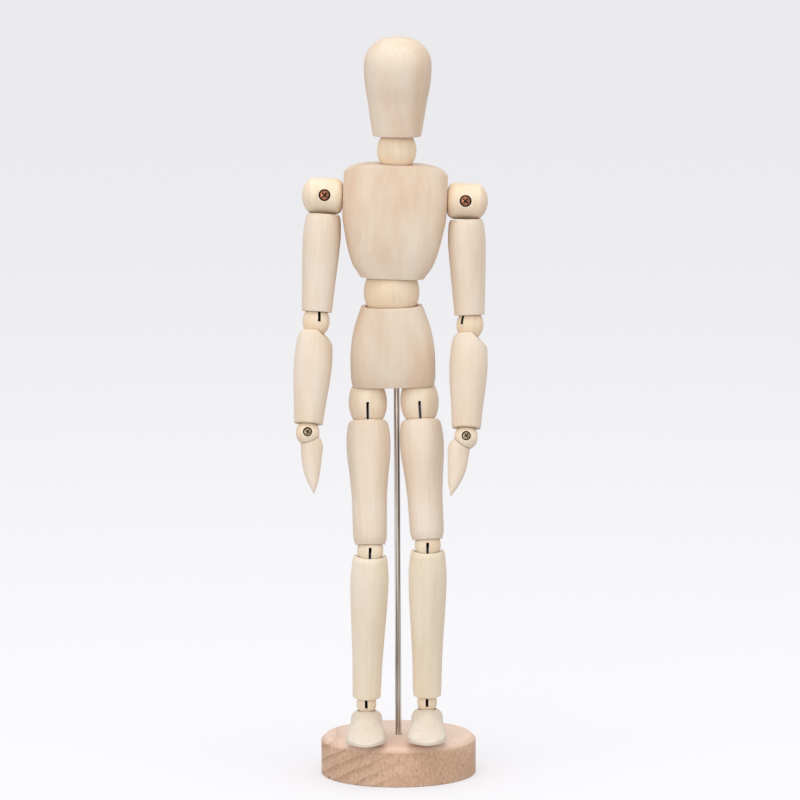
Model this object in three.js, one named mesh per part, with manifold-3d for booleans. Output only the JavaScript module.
// A wooden artist mannequin on a round base, in millimetres, +Z up, facing -Y.
// The origin is the centre of the base's underside. Right and left are the figure's own.
import * as THREE from "three";
import { mergeVertices } from "three/addons/utils/BufferGeometryUtils.js";
import Module from "manifold-3d";

const wasm = await Module();
wasm.setup();

// Clearances
const GAP = 0.3; // between two pieces that seat on each other
const SLIDE_GAP = 0.2; // between a pin or a rod and its hole
const CUT = 60; // a tool longer than any piece that it cuts

// Stand
const BASE_RADIUS = 32;
const BASE_HEIGHT = 16.1;
const BASE_CHAMFER = 1.1;
const ROD_RADIUS = 1.25;
const ROD_SUNK = 12; // depth of the rod's hole in the base
const ROD_INTO_PELVIS = 26; // above the hips' centres

// Where the figure stands at rest
const FIGURE_X = -1.25;
const FIGURE_Y = -7;
const SOLE_CLEARANCE = 1.5; // between the lower sole and the base

// Joint balls: radius of the seated caps, and half width of the flatter middle
const WAIST_BALL = { cap: 11.9, belly: 11.4 };
const NECK_BALL = { cap: 8.5, belly: 8.05 };
const HIP_BALL = { cap: 9.2, belly: 7.85 };
const ELBOW_BALL = { cap: 5.95, belly: 5.55 };
const KNEE_BALL = { cap: 5.9, belly: 5.35 };
const ANKLE_BALL = { cap: 4.4, belly: 4.1 };
const WRIST_BALL = { cap: 5.0, belly: 4.85 };
const CAP_LATITUDE = 46; // in degrees, where a ball's round cap begins
const SHOULDER_CAP = 9.25; // domed outer end, about the screw
const SHOULDER_BARREL = 7.4; // radius of the turned barrel
const SHOULDER_INNER = 7.4; // from the screw to the flat inner face
const SHOULDER_ROUND = 3.1; // rounding of the inner face's edge

// Lengths between ball centres
const WAIST_ABOVE_HIPS = 45.2;
const NECK_ABOVE_WAIST = 58.1;
const SHOULDER_ABOVE_WAIST = 38.3;
const HIP_FORWARD = 1;
const UPPER_ARM = 50.4;
const FOREARM = 46.6;
const HAND = 24.8;
const THIGH = 60.2;
const CALF = 66.4;
const ANKLE_ABOVE_SOLE = 13.6;
const HEAD_ABOVE_NECK = 46.2;

// The wooden pieces at their fullest
const PELVIS_WIDTH = 34.7;
const PELVIS_DEPTH = 24.6;
const TORSO_WIDTH = 42; // between the flats that face the shoulder balls
const TORSO_DEPTH = 24.8;
const HEAD_WIDTH = 27.6;
const HEAD_DEPTH = 30;
const UPPER_ARM_WIDTH = 15.4;
const FOREARM_WIDTH = 15.6;
const HAND_WIDTH = 9;
const HAND_THICKNESS = 6.8;
const THIGH_WIDTH = 18;
const THIGH_DEPTH = 17.2;
const CALF_WIDTH = 15.6;
const FOOT_WIDTH = 16.2;
const TOE_AHEAD = 24.5; // of the ankle's centre
const HEEL_BEHIND = 8;
const SHOULDER_OUT = TORSO_WIDTH / 2 + GAP + SHOULDER_INNER;
const HIP_INSET = 6.75; // from the pelvis's side to the hip's centre
const HIP_OUT = PELVIS_WIDTH / 2 - HIP_INSET;

// Seams: how far each limb's end stands from the centre of the ball that it seats on
const PELVIS_TOP = 5.7;
const PELVIS_BOTTOM = 6.6;
const TORSO_BOTTOM = 6.2;
const TORSO_TOP = 4.2;
const HEAD_BOTTOM = 5.8;
const ARM_TOP = 7.75;
const ELBOW_SEAM = 3.9;
const WRIST_SEAM = 3.7;
const HAND_TOP = 2.6;
const HIP_SEAM = 7.5;
const THIGH_END = 2.3;
const CALF_TOP = 1.9;
const CALF_END = 3.1;

// The bevels that let a limb fold: how steep they are, and how far beside the axis they start
const BEVEL_ANGLE = 45;
const ELBOW_BEVEL = 2.3;
const KNEE_BEVEL = 1;

// Pins, screws, springs and slits
const PIN_RADIUS = 0.6;
const PEG_RADIUS = 0.8;
const SHAFT_RADIUS = 0.9;
const SHOULDER_HEAD = 2.15;
const WRIST_HEAD = 1.6;
const HEAD_THICKNESS = 1.1;
const HEAD_SUNK = 0.7; // how far a screw's head lies below the ball's surface
const WIRE = 0.35; // radius of the spring wire
const COIL = 1.2; // radius of the coil's centre line
const SLIT = 1.15; // width of a saw slit
const SLIT_DEPTH = 1.9; // how far a slit runs past the ball's centre
const BLADE = 14; // radius of the saw blade, which leaves a slit's floor round
const BORE = COIL + WIRE + GAP; // radius of a spring's bore
const PEG_TOP = 2.4; // a peg starts this far below its ball's centre
const HAND_PEG_END = 10;
const FOOT_PEG_END = 9.5;
const PIN_INSET = 0.8; // from the ball's surface to the end of its cross pin
const SCREW_INSET = 1.2; // from the back of a ball to the end of its screw

// How far the springs reach from the ball centres
const WAIST_SPRING_DOWN = 24;
const WAIST_SPRING_UP = 22;
const NECK_SPRING_DOWN = 15;
const NECK_SPRING_UP = 18;
const HIP_SPRING_UP = 18;
const HIP_SPRING_DOWN = -3; // it stops above the hip's cross pin
const SHOULDER_SPRING_INTO_BALL = 4.2;
const ELBOW_SPRING_TOP = 2.6; // the forearm's spring starts below the elbow's slit
const KNEE_SPRING_END = 2.6; // the thigh's spring ends above the knee's slit
const SHANK = 12; // the straight wire between a spring's eye and its coil

// Rest angles in degrees, as the figure stands, and the limbs' lengths. The trunk leans to the
// figure's left. The pieces are turned by hand, so those of a pair differ a little.
const PELVIS_LEAN = -0.8;
const TORSO_LEAN = 2.4;
const HEAD_LEAN = -1.4; // back towards upright, against the chest's lean
const RIGHT = {
  name: "right",
  side: -1,
  upperArm: UPPER_ARM + 0.8,
  forearm: FOREARM - 0.6,
  thigh: THIGH + 0.6,
  calf: CALF - 0.6,
  armForward: 8,
  armOut: 4.2,
  elbowTurn: 14,
  elbowBend: 6.2,
  elbowLean: 1.9,
  forearmTurn: 61,
  wristLean: -10.3,
  handBulge: 1.1,
  thighOut: -0.7,
  thighForward: 12,
  calfOut: 1.9,
  calfBack: 7.6,
};
const LEFT = {
  name: "left",
  side: 1,
  upperArm: UPPER_ARM,
  forearm: FOREARM,
  thigh: THIGH - 1.1,
  calf: CALF + 0.8,
  armForward: 5.7,
  armOut: 1.9,
  elbowTurn: -38,
  elbowBend: 11.4,
  elbowLean: -3.3,
  forearmTurn: 113,
  wristLean: 12.4,
  handBulge: -1.6,
  thighOut: 3.0,
  thighForward: 11.4,
  calfOut: -0.6,
  calfBack: 7.2,
};

const wood = (color) => new THREE.MeshStandardMaterial({ color, roughness: 0.62, metalness: 0 });
const steel = (color, roughness) =>
  new THREE.MeshStandardMaterial({ color, roughness, metalness: 1 });
const LIMB_WOOD = wood(0xead9bf);
const BALL_WOOD = wood(0xe9d0ae);
const BASE_WOOD = wood(0xd9b79b);
const ROD_STEEL = steel(0xa8a19c, 0.3);
const SCREW_BRASS = steel(0x8a6a4a, 0.45);
const WIRE_STEEL = steel(0x9a9a9c, 0.4);

const radians = THREE.MathUtils.degToRad;

// Solids

function solidOf(geometry) {
  const bare = geometry.clone();
  bare.deleteAttribute("normal");
  bare.deleteAttribute("uv");
  const merged = mergeVertices(bare, 1e-4);
  return new wasm.Manifold(
    new wasm.Mesh({
      numProp: 3,
      vertProperties: merged.attributes.position.array,
      triVerts: new Uint32Array(merged.index.array),
    }),
  );
}

function meshOf(name, solid, material) {
  const made = solid.getMesh();
  const geometry = new THREE.BufferGeometry();
  geometry.setAttribute("position", new THREE.BufferAttribute(made.vertProperties, 3));
  geometry.setIndex(new THREE.BufferAttribute(made.triVerts, 1));
  geometry.computeVertexNormals();
  const mesh = new THREE.Mesh(geometry, material);
  mesh.name = name;
  return mesh;
}

function box(width, depth, height, x, y, z) {
  return solidOf(new THREE.BoxGeometry(width, depth, height).translate(x, y, z));
}

// The round tool that cuts a seat for a ball. Its flats, not its corners, clear the ball by GAP.
function seatCutter(ballRadius, x, y, z, segments = 16) {
  const radius = (ballRadius + GAP) / Math.cos(Math.PI / segments) ** 2;
  const geometry = new THREE.SphereGeometry(radius, segments, segments / 2).rotateX(Math.PI / 2);
  return solidOf(geometry.translate(x, y, z));
}

// A round bar between two points.
function bar(radius, from, to, segments = 8) {
  const start = new THREE.Vector3(...from);
  const line = new THREE.Vector3(...to).sub(start);
  const geometry = new THREE.CylinderGeometry(radius, radius, line.length(), segments);
  const turn = new THREE.Quaternion();
  turn.setFromUnitVectors(new THREE.Vector3(0, 1, 0), line.clone().normalize());
  geometry.applyQuaternion(turn);
  const middle = start.addScaledVector(line, 0.5);
  return solidOf(geometry.translate(middle.x, middle.y, middle.z));
}

// A turned solid about Z from [radius, height] points that run from the bottom to the top.
function turned(profile, segments) {
  const points = profile.map(([radius, height]) => new THREE.Vector2(radius, height));
  return solidOf(new THREE.LatheGeometry(points, segments).rotateX(Math.PI / 2));
}

// A closed skin over rings that run from top to bottom, each with the same number of points.
function skin(rings) {
  const count = rings[0].length;
  const middleOf = (ring) =>
    ring.reduce((sum, p) => sum.add(p), new THREE.Vector3()).divideScalar(count);
  const points = [...rings.flat(), middleOf(rings[0]), middleOf(rings.at(-1))];
  const index = [];
  for (let i = 0; i + 1 < rings.length; i++) {
    for (let j = 0; j < count; j++) {
      const a = i * count + j;
      const b = i * count + ((j + 1) % count);
      index.push(a, a + count, b, b, a + count, b + count);
    }
  }
  const last = (rings.length - 1) * count;
  for (let j = 0; j < count; j++) {
    const next = (j + 1) % count;
    index.push(points.length - 2, j, next);
    index.push(points.length - 1, last + next, last + j);
  }
  const geometry = new THREE.BufferGeometry().setFromPoints(points).setIndex(index);
  return solidOf(geometry);
}

// A limb along -Z from sections [depth below the origin, half width, half depth, shift forward,
// shift sideways].
function limb(sections, squareness = 2, segments = 16) {
  const rings = sections.map(([below, width, depth, forward = 0, sideways = 0]) => {
    const ring = [];
    for (let j = 0; j < segments; j++) {
      const angle = (j / segments) * 2 * Math.PI;
      const c = Math.cos(angle);
      const s = Math.sin(angle);
      const power = 2 / squareness;
      const x = width * Math.sign(c) * Math.abs(c) ** power + sideways;
      const y = depth * Math.sign(s) * Math.abs(s) ** power - forward;
      ring.push(new THREE.Vector3(x, y, -below));
    }
    return ring;
  });
  return skin(rings);
}

// The sections of a piece between two depths. A shape lists them from the first end (0) to the
// last (1) with their shares of the width, of the depth, of the depth as a shift forward and of
// the bulge to one side.
function shaped(shape, { from, to, width, depth = width, bulge = 0 }) {
  return shape.map(([along, wide, deep = wide, forward = 0, aside = 0]) => [
    THREE.MathUtils.lerp(from, to, along),
    (wide * width) / 2,
    (deep * depth) / 2,
    forward * depth,
    aside * bulge,
  ]);
}

// The tool that takes the corner off a limb's first end (1) or last end (-1), at the given
// depth. It starts beside the axis: behind it, or in front where the start is negative.
function bevel(below, start, end) {
  return box(CUT, CUT, CUT, 0, 0, (end * CUT) / 2)
    .rotate([-Math.sign(start) * end * BEVEL_ANGLE, 0, 0])
    .translate([0, start, -below]);
}

// A ball whose seated caps are round about its centre and whose middle is flatter. The round
// begins at the cap's height, and the middle is an ellipse that meets it there.
function jointBall({ cap, belly }, segments) {
  const edge = radians(CAP_LATITUDE);
  const drop = Math.sqrt(1 - ((cap * Math.cos(edge)) / belly) ** 2);
  const half = [[belly * Math.sqrt(1 - (drop / 2) ** 2), (cap * Math.sin(edge)) / 2]];
  for (const latitude of [CAP_LATITUDE, CAP_LATITUDE + 17]) {
    const angle = radians(latitude);
    half.push([cap * Math.cos(angle), cap * Math.sin(angle)]);
  }
  half.push([0, cap]);
  const lower = half.map(([radius, height]) => [radius, -height]).reverse();
  return turned([...lower, [belly, 0], ...half], segments);
}

// The saw slit of a ball, open upwards (1) or downwards (-1), for an eye that turns about X.
function slit(up) {
  const middle = up * (BLADE - SLIT_DEPTH);
  const blade = new THREE.CylinderGeometry(BLADE, BLADE, SLIT, 24).rotateZ(Math.PI / 2);
  return solidOf(blade.translate(0, 0, middle));
}

// The bore in which a spring ends, from a start on the axis outwards, leaned about Y.
function springHole(from, to, lean = 0) {
  return bar(BORE, [0, 0, from], [0, 0, to]).rotate([0, lean, 0]);
}

// The hole that a ball's cross pin sits in, and the pin, which stops short of the surface.
function crossPin(ball) {
  const half = ball.belly - PIN_INSET;
  return {
    hole: bar(PIN_RADIUS + SLIDE_GAP, [-CUT, 0, 0], [half, 0, 0]),
    pin: bar(PIN_RADIUS, [-half, 0, 0], [half - SLIDE_GAP, 0, 0]),
  };
}

// The coil of a spring along Z, whose wire winds in to the axis at each end.
class CoilPath extends THREE.Curve {
  constructor(bottom, top, turns, closed) {
    super();
    Object.assign(this, { bottom, top, turns, closed });
  }
  getPoint(t, target = new THREE.Vector3()) {
    const ends = this.closed ? Math.min(1, (Math.min(t, 1 - t) * this.turns) / 0.6) : 1;
    const angle = t * this.turns * 2 * Math.PI;
    const radius = COIL * ends;
    const height = THREE.MathUtils.lerp(this.bottom, this.top, t);
    return target.set(radius * Math.cos(angle), radius * Math.sin(angle), height);
  }
}

function wireShape() {
  const shape = new THREE.Shape();
  for (let i = 0; i < 4; i++) {
    const angle = (i / 4) * 2 * Math.PI;
    const point = [WIRE * Math.cos(angle), WIRE * Math.sin(angle)];
    if (i === 0) shape.moveTo(...point);
    else shape.lineTo(...point);
  }
  return shape;
}

function coil(bottom, top, turns, closed = false) {
  const path = new CoilPath(bottom, top, turns, closed);
  const steps = Math.round(turns * 5);
  const options = { steps, extrudePath: path, bevelEnabled: false, curveSegments: 1 };
  return solidOf(new THREE.ExtrudeGeometry(wireShape(), options));
}

// The eye at a spring's end, at height z, about a pin that lies `turn` degrees from X.
function eye(z, pinRadius, turn = 0) {
  const radius = pinRadius + SLIDE_GAP + WIRE;
  const geometry = new THREE.TorusGeometry(radius, WIRE, 4, 8).rotateY(Math.PI / 2);
  geometry.rotateZ(radians(turn)).translate(0, 0, z);
  return { ring: solidOf(geometry), radius };
}

// A spring inside a limb: an eye about a pin at each named end, straight shanks and a coil.
function limbSpring(ends, turns) {
  let spring = coil(-ends[1].towards, -ends[0].towards, turns, true);
  for (const { at, pinRadius, turn, towards } of ends) {
    const { ring, radius } = eye(-at, pinRadius, turn);
    const away = -Math.sign(towards - at);
    const shank = bar(WIRE, [0, 0, -at + away * radius], [0, 0, -towards + away * WIRE], 5);
    spring = spring.add(ring).add(shank);
  }
  return spring;
}

// Nested frames: a group at a place, turned by angles in degrees in the order Z, Y, X.
function frame(parent, name, [x, y, z], { turn = 0, lean = 0, bend = 0 } = {}) {
  const group = new THREE.Group();
  group.name = name + "_frame";
  group.position.set(x, y, z);
  group.rotation.set(radians(bend), radians(lean), radians(turn), "ZYX");
  parent.add(group);
  return group;
}

const mannequin = new THREE.Group();

// Stand

function makeStand() {
  const rim = BASE_HEIGHT - BASE_CHAMFER;
  const disc = turned(
    [
      [0, 0],
      [BASE_RADIUS, 0],
      [BASE_RADIUS, rim],
      [BASE_RADIUS - BASE_CHAMFER, BASE_HEIGHT],
      [0, BASE_HEIGHT],
    ],
    48,
  );
  const floor = BASE_HEIGHT - ROD_SUNK;
  const hole = bar(ROD_RADIUS + SLIDE_GAP, [0, 0, floor], [0, 0, CUT], 12);
  mannequin.add(meshOf("base", disc.subtract(hole), BASE_WOOD));
  const rod = bar(ROD_RADIUS, [0, 0, floor + GAP], [0, 0, ROD_TOP], 12);
  mannequin.add(meshOf("support_rod", rod, ROD_STEEL));
}

// Trunk


// The height of a hip's centre above its sole, as seen from the leaning pelvis.
function standingHeight(pose) {
  const cosine = (angle) => Math.cos(radians(angle));
  const thigh = pose.thigh * cosine(pose.thighForward) * cosine(pose.thighOut);
  const calf = pose.calf * cosine(pose.calfBack) * cosine(pose.calfOut);
  const raised = -pose.side * HIP_OUT * Math.sin(radians(PELVIS_LEAN));
  return thigh + calf + ANKLE_ABOVE_SOLE - raised;
}

const LEG_HEIGHT = Math.max(standingHeight(RIGHT), standingHeight(LEFT));
const HIP_HEIGHT = BASE_HEIGHT + SOLE_CLEARANCE + LEG_HEIGHT;
const ROD_TOP = HIP_HEIGHT + ROD_INTO_PELVIS;
const hips = frame(mannequin, "pelvis", [FIGURE_X, FIGURE_Y, HIP_HEIGHT], { lean: PELVIS_LEAN });

const PELVIS_SHAPE = [
  [0, 0.7, 0.93],
  [0.03, 0.73, 0.95],
  [0.12, 0.81, 0.98],
  [0.27, 0.9, 1],
  [0.46, 0.97, 1],
  [0.64, 1, 0.98],
  [0.88, 1, 0.88],
  [0.97, 0.97, 0.78],
  [1, 0.92, 0.72],
];

function makePelvis() {
  const top = PELVIS_TOP - WAIST_ABOVE_HIPS;
  const sections = shaped(PELVIS_SHAPE, {
    from: top,
    to: -PELVIS_BOTTOM,
    width: PELVIS_WIDTH,
    depth: PELVIS_DEPTH,
  });
  let pelvis = limb(sections, 2.7, 24);
  pelvis = pelvis.subtract(seatCutter(WAIST_BALL.cap, 0, 0, WAIST_ABOVE_HIPS));
  const springEnd = WAIST_ABOVE_HIPS - WAIST_SPRING_DOWN - GAP;
  pelvis = pelvis.subtract(bar(BORE, [0, 0, springEnd], [0, 0, CUT]));
  for (const side of [-1, 1]) {
    const [x, y] = [side * HIP_OUT, -HIP_FORWARD];
    pelvis = pelvis.subtract(seatCutter(HIP_BALL.cap, x, y, 0));
    pelvis = pelvis.subtract(bar(BORE, [x, y, 0], [x, y, HIP_SPRING_UP + GAP]));
  }
  hips.updateWorldMatrix(true, false);
  const onRod = (z) => hips.worldToLocal(new THREE.Vector3(0, 0, z)).toArray();
  const rodHole = bar(ROD_RADIUS + SLIDE_GAP, onRod(BASE_HEIGHT), onRod(ROD_TOP + GAP), 12);
  hips.add(meshOf("pelvis", pelvis.subtract(rodHole), LIMB_WOOD));
}

const waist = frame(hips, "waist", [0, 0, WAIST_ABOVE_HIPS]);
const WAIST_LEAN = TORSO_LEAN - PELVIS_LEAN;
const chest = frame(waist, "torso", [0, 0, 0], { lean: WAIST_LEAN });

function throughBall(ball, segments) {
  return jointBall(ball, segments).subtract(bar(BORE, [0, 0, -CUT], [0, 0, CUT]));
}

function makeWaist() {
  waist.add(meshOf("waist_ball", throughBall(WAIST_BALL, 20), BALL_WOOD));
  const spring = coil(-WAIST_SPRING_DOWN, WAIST_SPRING_UP, 7);
  waist.add(meshOf("waist_spring", spring, WIRE_STEEL));
}

const TORSO_SHAPE = [
  [0, 0.42, 0.71],
  [0.04, 0.73, 0.81],
  [0.07, 0.89, 0.87],
  [0.11, 1.02, 0.91, 0.01],
  [0.29, 1.03, 0.94, 0.03],
  [0.48, 1.01, 0.98, 0.05],
  [0.63, 0.95, 1, 0.05],
  [0.77, 0.88, 0.99, 0.04],
  [0.9, 0.78, 0.96, 0.02],
  [0.97, 0.66, 0.94, 0.01],
  [1, 0.6, 0.92],
];

function makeTorso() {
  const top = TORSO_TOP - NECK_ABOVE_WAIST;
  const sections = shaped(TORSO_SHAPE, {
    from: top,
    to: -TORSO_BOTTOM,
    width: TORSO_WIDTH,
    depth: TORSO_DEPTH,
  });
  let torso = limb(sections, 2.8, 24);
  torso = torso.intersect(box(TORSO_WIDTH, CUT, 2 * CUT, 0, 0, CUT));
  torso = torso.subtract(seatCutter(WAIST_BALL.cap, 0, 0, 0));
  torso = torso.subtract(seatCutter(NECK_BALL.cap, 0, 0, NECK_ABOVE_WAIST));
  torso = torso.subtract(springHole(0, WAIST_SPRING_UP + GAP, -WAIST_LEAN));
  const neckEnd = NECK_ABOVE_WAIST - NECK_SPRING_DOWN - GAP;
  torso = torso.subtract(bar(BORE, [0, 0, neckEnd], [0, 0, CUT]));
  const across = [-CUT, 0, SHOULDER_ABOVE_WAIST];
  torso = torso.subtract(bar(BORE, across, [CUT, 0, SHOULDER_ABOVE_WAIST]));
  chest.add(meshOf("torso", torso, LIMB_WOOD));
}

function makeShoulderSpring() {
  const half = TORSO_WIDTH / 2 + GAP + SHOULDER_SPRING_INTO_BALL;
  const spring = meshOf("shoulder_spring", coil(-half, half, 8), WIRE_STEEL);
  spring.position.z = SHOULDER_ABOVE_WAIST;
  spring.rotation.y = Math.PI / 2;
  chest.add(spring);
}

const neck = frame(chest, "neck", [0, 0, NECK_ABOVE_WAIST]);
const skull = frame(neck, "head", [0, 0, 0], { lean: HEAD_LEAN });

const HEAD_SHAPE = [
  [0, 0.1, 0.12, -0.02],
  [0.012, 0.34, 0.36, -0.02],
  [0.045, 0.58, 0.6, -0.02],
  [0.1, 0.79, 0.8, -0.01],
  [0.19, 0.94, 0.95],
  [0.31, 1, 1],
  [0.46, 0.97, 0.96],
  [0.64, 0.88, 0.86],
  [0.84, 0.79, 0.76, 0.01],
  [0.98, 0.72, 0.69, 0.01],
  [1, 0.68, 0.66, 0.01],
];

function makeNeckAndHead() {
  neck.add(meshOf("neck_ball", throughBall(NECK_BALL, 20), BALL_WOOD));
  const spring = coil(-NECK_SPRING_DOWN, NECK_SPRING_UP, 5);
  neck.add(meshOf("neck_spring", spring, WIRE_STEEL));
  const sections = shaped(HEAD_SHAPE, {
    from: -HEAD_ABOVE_NECK,
    to: -HEAD_BOTTOM,
    width: HEAD_WIDTH,
    depth: HEAD_DEPTH,
  });
  let head = limb(sections, 2.2, 20);
  head = head.subtract(seatCutter(NECK_BALL.cap, 0, 0, 0));
  head = head.subtract(springHole(0, NECK_SPRING_UP + GAP, -HEAD_LEAN));
  skull.add(meshOf("head", head, LIMB_WOOD));
}

// Screws: a flat head with a cross recess, its shaft running back along +Y.

function screw(headRadius, front, back) {
  const head = bar(headRadius, [0, front, 0], [0, front + HEAD_THICKNESS, 0], 16);
  const shaft = bar(SHAFT_RADIUS, [0, front, 0], [0, back, 0]);
  const wide = headRadius * 1.3;
  const narrow = headRadius * 0.3;
  const recess = box(wide, HEAD_THICKNESS, narrow, 0, front, 0).add(
    box(narrow, HEAD_THICKNESS, wide, 0, front, 0),
  );
  return head.add(shaft).subtract(recess);
}

function screwHole(headRadius, front, back) {
  const head = bar(headRadius + GAP, [0, -CUT, 0], [0, front + HEAD_THICKNESS + GAP, 0], 16);
  return head.add(bar(SHAFT_RADIUS + SLIDE_GAP, [0, front, 0], [0, back + SLIDE_GAP, 0]));
}

// Arms. The side is -1 for the right arm, at -X, and 1 for the left.

function makeShoulderBall(name, side, shoulder) {
  const profile = [[0, -SHOULDER_INNER]];
  for (let angle = 0; angle <= 90; angle += 30) {
    const radius = SHOULDER_BARREL - SHOULDER_ROUND * (1 - Math.sin(radians(angle)));
    profile.push([radius, -SHOULDER_INNER + SHOULDER_ROUND * (1 - Math.cos(radians(angle)))]);
  }
  for (let latitude = 35; latitude <= 75; latitude += 13) {
    const angle = radians(latitude);
    const radius = Math.min(SHOULDER_BARREL, SHOULDER_CAP * Math.cos(angle));
    profile.push([radius, SHOULDER_CAP * Math.sin(angle)]);
  }
  profile.push([0, SHOULDER_CAP]);
  const points = profile.map(([radius, height]) => new THREE.Vector2(radius, height));
  const lathe = new THREE.LatheGeometry(points, 20).rotateZ((-side * Math.PI) / 2);
  const reach = CUT / 2 - SLIT_DEPTH;
  const groove = box(CUT, SLIT, CUT, side * reach, 0, -reach);
  const front = -SHOULDER_BARREL + HEAD_SUNK;
  const back = SHOULDER_BARREL - SCREW_INSET;
  const socketEnd = SHOULDER_INNER - SHOULDER_SPRING_INTO_BALL - WIRE - GAP;
  const socket = bar(BORE, [-side * CUT, 0, 0], [-side * socketEnd, 0, 0]);
  const ball = solidOf(lathe)
    .subtract(groove)
    .subtract(screwHole(SHOULDER_HEAD, front, back))
    .subtract(socket);
  shoulder.add(meshOf(name + "_shoulder_ball", ball, BALL_WOOD));
  const fastener = screw(SHOULDER_HEAD, front, back);
  shoulder.add(meshOf(name + "_shoulder_screw", fastener, SCREW_BRASS));
}

const UPPER_ARM_SHAPE = [
  [0, 0.83],
  [0.03, 0.9],
  [0.1, 0.96],
  [0.23, 1],
  [0.44, 0.96],
  [0.72, 0.88],
  [0.975, 0.8],
  [1, 0.72],
];

function makeUpperArm(name, arm, length, elbowTurn) {
  const sections = shaped(UPPER_ARM_SHAPE, {
    from: ARM_TOP,
    to: length - ELBOW_SEAM,
    width: UPPER_ARM_WIDTH,
  });
  const solid = limb(sections)
    .subtract(seatCutter(SHOULDER_CAP, 0, 0, 0))
    .subtract(seatCutter(ELBOW_BALL.cap, 0, 0, -length))
    .subtract(bar(BORE, [0, 0, 0], [0, 0, -UPPER_ARM]));
  arm.add(meshOf(name + "_upper_arm", solid, LIMB_WOOD));
  const ends = [
    { at: 0, pinRadius: SHAFT_RADIUS, turn: 90, towards: SHANK },
    { at: length, pinRadius: PIN_RADIUS, turn: elbowTurn, towards: length - SHANK },
  ];
  arm.add(meshOf(name + "_upper_arm_spring", limbSpring(ends, 4), WIRE_STEEL));
}

function makeElbow(name, elbow, lean) {
  const { hole, pin } = crossPin(ELBOW_BALL);
  const socket = springHole(-CUT, -ELBOW_SPRING_TOP + GAP, lean);
  const ball = jointBall(ELBOW_BALL, 16).subtract(slit(1)).subtract(hole).subtract(socket);
  elbow.add(meshOf(name + "_elbow_ball", ball, BALL_WOOD));
  elbow.add(meshOf(name + "_elbow_pin", pin, WIRE_STEEL));
}

const FOREARM_SHAPE = [
  [0, 0.76],
  [0.03, 0.84],
  [0.1, 0.92],
  [0.21, 0.98],
  [0.34, 1],
  [0.54, 0.95],
  [0.77, 0.84],
  [0.98, 0.76],
  [1, 0.7],
];

function makeForearm(name, forearm, length, screwTurn) {
  const sections = shaped(FOREARM_SHAPE, {
    from: ELBOW_SEAM + GAP,
    to: length - WRIST_SEAM,
    width: FOREARM_WIDTH,
  });
  const solid = limb(sections)
    .subtract(seatCutter(ELBOW_BALL.cap, 0, 0, 0))
    .subtract(bevel(ELBOW_SEAM + GAP, -ELBOW_BEVEL, 1))
    .subtract(seatCutter(WRIST_BALL.cap, 0, 0, -length))
    .subtract(bar(BORE, [0, 0, 0], [0, 0, -length]));
  forearm.add(meshOf(name + "_forearm", solid, LIMB_WOOD));
  const coilEnd = length - SHANK;
  const { ring, radius } = eye(-length, SHAFT_RADIUS, screwTurn + 90);
  const shank = bar(WIRE, [0, 0, -length + radius], [0, 0, -coilEnd], 5);
  const spring = coil(-coilEnd, -ELBOW_SPRING_TOP, 4, true).add(ring).add(shank);
  forearm.add(meshOf(name + "_forearm_spring", spring, WIRE_STEEL));
}

function makeWrist(name, wrist) {
  const front = -WRIST_BALL.belly + HEAD_SUNK;
  const back = WRIST_BALL.belly - SCREW_INSET;
  const groove = box(CUT, SLIT, CUT, 0, 0, CUT / 2 - SLIT_DEPTH);
  const pegHole = bar(PEG_RADIUS + SLIDE_GAP, [0, 0, -CUT], [0, 0, -PEG_TOP + SLIDE_GAP]);
  const ball = jointBall(WRIST_BALL, 16)
    .subtract(groove)
    .subtract(screwHole(WRIST_HEAD, front, back))
    .subtract(pegHole);
  wrist.add(meshOf(name + "_wrist_ball", ball, BALL_WOOD));
  wrist.add(meshOf(name + "_wrist_screw", screw(WRIST_HEAD, front, back), SCREW_BRASS));
  const peg = bar(PEG_RADIUS, [0, 0, -PEG_TOP], [0, 0, -HAND_PEG_END]);
  wrist.add(meshOf(name + "_hand_pin", peg, WIRE_STEEL));
}

const SOLE_CORNER = 0.35; // the lower, the squarer the edge of the sole

// The hand is a leaf whose broad part stands to one side of its peg.
const HAND_SHAPE = [
  [0, 0.9, 1, 0, 0.8],
  [0.1, 0.99, 0.97, 0, 1],
  [0.16, 1, 0.94, 0, 1],
  [0.29, 0.95, 0.85, 0, 0.65],
  [0.47, 0.85, 0.73, 0, 0.3],
  [0.66, 0.67, 0.59, 0, 0.1],
  [0.82, 0.42, 0.44, 0, 0.1],
  [0.93, 0.18, 0.29],
  [1, 0.06, 0.15],
];

function makeHand(name, hand, bulge) {
  const sections = shaped(HAND_SHAPE, {
    from: HAND_TOP,
    to: HAND,
    width: HAND_WIDTH,
    depth: HAND_THICKNESS,
    bulge,
  });
  const solid = limb(sections, 2, 12)
    .subtract(seatCutter(WRIST_BALL.cap, 0, 0, 0))
    .subtract(bar(PEG_RADIUS + SLIDE_GAP, [0, 0, 0], [0, 0, -HAND_PEG_END - GAP]));
  hand.add(meshOf(name + "_hand", solid, LIMB_WOOD));
}

// Legs

function makeHip(name, hip) {
  const { hole, pin } = crossPin(HIP_BALL);
  const socket = bar(BORE, [0, 0, -HIP_SPRING_DOWN - GAP], [0, 0, CUT]);
  const ball = jointBall(HIP_BALL, 20).subtract(slit(-1)).subtract(hole).subtract(socket);
  hip.add(meshOf(name + "_hip_ball", ball, BALL_WOOD));
  hip.add(meshOf(name + "_hip_pin", pin, WIRE_STEEL));
}

const THIGH_SHAPE = [
  [0, 0.77, 0.81],
  [0.015, 0.86, 0.9],
  [0.08, 0.96, 0.98],
  [0.16, 1, 1],
  [0.26, 0.99, 1],
  [0.44, 0.89, 0.94],
  [0.64, 0.8, 0.88],
  [0.93, 0.76, 0.8],
  [0.965, 0.73, 0.76],
  [0.985, 0.68, 0.71],
  [1, 0.6, 0.63],
];

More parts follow.
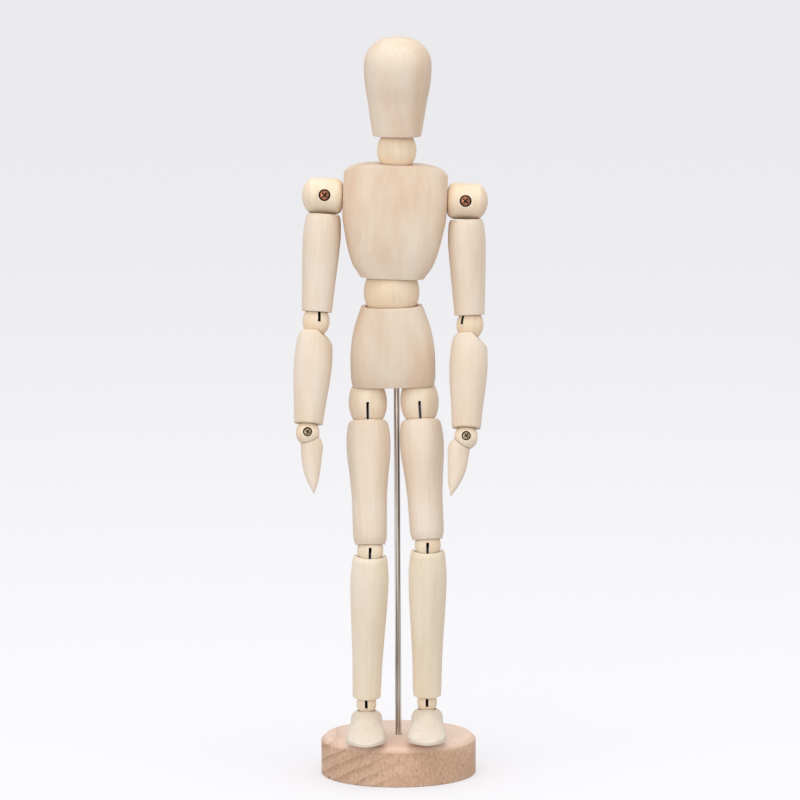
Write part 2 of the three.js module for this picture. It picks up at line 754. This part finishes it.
function makeThigh(name, thigh, length) {
  const end = length - THIGH_END;
  const sections = shaped(THIGH_SHAPE, {
    from: HIP_SEAM,
    to: end,
    width: THIGH_WIDTH,
    depth: THIGH_DEPTH,
  });
  const solid = limb(sections)
    .subtract(seatCutter(HIP_BALL.cap, 0, 0, 0))
    .subtract(bevel(end, KNEE_BEVEL, -1))
    .subtract(seatCutter(KNEE_BALL.cap, 0, 0, -length))
    .subtract(bar(BORE, [0, 0, 0], [0, 0, -length]));
  thigh.add(meshOf(name + "_thigh", solid, LIMB_WOOD));
  const { ring, radius } = eye(0, PIN_RADIUS);
  const shank = bar(WIRE, [0, 0, -radius], [0, 0, -SHANK], 5);
  const spring = coil(KNEE_SPRING_END - length, -SHANK, 5, true).add(ring).add(shank);
  thigh.add(meshOf(name + "_thigh_spring", spring, WIRE_STEEL));
}

function makeKnee(name, knee, lean) {
  const { hole, pin } = crossPin(KNEE_BALL);
  const socket = springHole(KNEE_SPRING_END - GAP, CUT, -lean);
  const ball = jointBall(KNEE_BALL, 16).subtract(slit(-1)).subtract(hole).subtract(socket);
  knee.add(meshOf(name + "_knee_ball", ball, BALL_WOOD));
  knee.add(meshOf(name + "_knee_pin", pin, WIRE_STEEL));
}

const CALF_SHAPE = [
  [0, 0.83],
  [0.015, 0.88],
  [0.09, 0.95],
  [0.17, 1],
  [0.32, 0.98],
  [0.55, 0.87],
  [0.78, 0.78],
  [0.985, 0.74],
  [1, 0.68],
];

function makeCalf(name, calf, length) {
  const sections = shaped(CALF_SHAPE, {
    from: CALF_TOP,
    to: length - CALF_END,
    width: CALF_WIDTH,
  });
  const solid = limb(sections)
    .subtract(seatCutter(KNEE_BALL.cap, 0, 0, 0))
    .subtract(bevel(CALF_TOP, KNEE_BEVEL, 1))
    .subtract(seatCutter(ANKLE_BALL.cap, 0, 0, -length))
    .subtract(bar(BORE, [0, 0, 0], [0, 0, -length]));
  calf.add(meshOf(name + "_calf", solid, LIMB_WOOD));
  const ends = [
    { at: 0, pinRadius: PIN_RADIUS, towards: SHANK },
    { at: length, pinRadius: PIN_RADIUS, towards: length - SHANK },
  ];
  calf.add(meshOf(name + "_calf_spring", limbSpring(ends, 5), WIRE_STEEL));
}

function makeAnkle(name, ankle) {
  const { hole, pin } = crossPin(ANKLE_BALL);
  const pegHole = bar(PEG_RADIUS + SLIDE_GAP, [0, 0, -CUT], [0, 0, -PEG_TOP + SLIDE_GAP]);
  const ball = jointBall(ANKLE_BALL, 16).subtract(slit(1)).subtract(hole).subtract(pegHole);
  ankle.add(meshOf(name + "_ankle_ball", ball, BALL_WOOD));
  ankle.add(meshOf(name + "_ankle_pin", pin, WIRE_STEEL));
  const peg = bar(PEG_RADIUS, [0, 0, -PEG_TOP], [0, 0, -FOOT_PEG_END]);
  ankle.add(meshOf(name + "_foot_pin", peg, WIRE_STEEL));
}

// Stations of the foot from the toe (0) to the heel (1): share of half the width, and the heights
// of the top, of the widest edge and of the underside, as shares of the ankle's height.
const FOOT_SHAPE = [
  [0, 0.13, 0.12, 0.08, 0.03],
  [0.015, 0.36, 0.17, 0.1, 0.01],
  [0.05, 0.61, 0.22, 0.12, 0],
  [0.11, 0.83, 0.29, 0.15, 0],
  [0.18, 0.95, 0.36, 0.17, 0],
  [0.26, 1, 0.42, 0.18, 0],
  [0.38, 0.93, 0.52, 0.22, 0],
  [0.48, 0.79, 0.62, 0.28, 0],
  [0.57, 0.68, 0.73, 0.38, 0],
  [0.67, 0.73, 0.81, 0.5, 0],
  [0.78, 0.8, 0.82, 0.54, 0],
  [0.88, 0.76, 0.77, 0.5, 0],
  [0.96, 0.56, 0.64, 0.4, 0.03],
  [1, 0.28, 0.48, 0.3, 0.08],
];

function makeFoot(name, foot) {
  const stations = FOOT_SHAPE.map(([along, wide, ...heights]) => [
    THREE.MathUtils.lerp(-TOE_AHEAD, HEEL_BEHIND, along),
    (wide * FOOT_WIDTH) / 2,
    ...heights.map((share) => (share - 1) * ANKLE_ABOVE_SOLE),
  ]);
  const around = 14;
  const rings = stations.map(([y, width, top, edge, sole]) => {
    const ring = [];
    for (let j = 0; j < around; j++) {
      const angle = (j / around) * 2 * Math.PI;
      const across = Math.cos(angle);
      const up = Math.sin(angle);
      const upper = up >= 0;
      const x = width * Math.sign(across) * Math.abs(across) ** (upper ? 1 : SOLE_CORNER);
      const height = upper ? (top - edge) * up : (edge - sole) * -((-up) ** SOLE_CORNER);
      ring.push(new THREE.Vector3(x, y, edge + height));
    }
    return ring;
  });
  const solid = skin(rings)
    .subtract(seatCutter(ANKLE_BALL.cap, 0, 0, 0))
    .subtract(bar(PEG_RADIUS + SLIDE_GAP, [0, 0, 0], [0, 0, -FOOT_PEG_END - GAP]));
  foot.add(meshOf(name + "_foot", solid, LIMB_WOOD));
}

function makeArm(pose) {
  const { name, side } = pose;
  const place = [side * SHOULDER_OUT, 0, SHOULDER_ABOVE_WAIST];
  const shoulder = frame(chest, name + "_shoulder", place, { bend: -pose.armForward });
  makeShoulderBall(name, side, shoulder);
  const lean = -side * pose.armOut - TORSO_LEAN;
  const arm = frame(shoulder, name + "_upper_arm", [0, 0, 0], { lean });
  makeUpperArm(name, arm, pose.upperArm, pose.elbowTurn);
  const elbow = frame(arm, name + "_elbow", [0, 0, -pose.upperArm], {
    turn: pose.elbowTurn,
    bend: -pose.elbowBend,
  });
  makeElbow(name, elbow, pose.elbowLean);
  const line = frame(elbow, name + "_forearm_line", [0, 0, 0], { lean: pose.elbowLean });
  const forearm = frame(line, name + "_forearm", [0, 0, 0], { turn: pose.forearmTurn });
  const facing = -pose.elbowTurn - pose.forearmTurn;
  makeForearm(name, forearm, pose.forearm, facing);
  const wrist = frame(forearm, name + "_wrist", [0, 0, -pose.forearm], {
    turn: facing,
    lean: pose.wristLean,
  });
  makeWrist(name, wrist);
  makeHand(name, wrist, pose.handBulge);
}

function makeLeg(pose) {
  const { name, side } = pose;
  const socket = frame(hips, name + "_socket", [side * HIP_OUT, -HIP_FORWARD, 0]);
  const pelvisSpring = coil(-HIP_SPRING_DOWN, HIP_SPRING_UP, 3);
  socket.add(meshOf(name + "_hip_spring", pelvisSpring, WIRE_STEEL));
  const lean = -side * pose.thighOut - PELVIS_LEAN;
  const hip = frame(socket, name + "_hip", [0, 0, 0], { lean });
  makeHip(name, hip);
  const thigh = frame(hip, name + "_thigh", [0, 0, 0], { bend: -pose.thighForward });
  makeThigh(name, thigh, pose.thigh);
  const kneeLean = side * (pose.thighOut - pose.calfOut);
  const knee = frame(thigh, name + "_knee", [0, 0, -pose.thigh], { lean: kneeLean });
  makeKnee(name, knee, kneeLean);
  const calf = frame(knee, name + "_calf", [0, 0, 0], { bend: pose.thighForward + pose.calfBack });
  makeCalf(name, calf, pose.calf);
  const ankle = frame(calf, name + "_ankle", [0, 0, -pose.calf], {
    bend: -pose.calfBack,
    lean: side * pose.calfOut,
  });
  makeAnkle(name, ankle);
  makeFoot(name, ankle);
}

makeStand();
makePelvis();
makeWaist();
makeTorso();
makeShoulderSpring();
makeNeckAndHead();
for (const pose of [RIGHT, LEFT]) {
  makeArm(pose);
  makeLeg(pose);
}

export default mannequin;
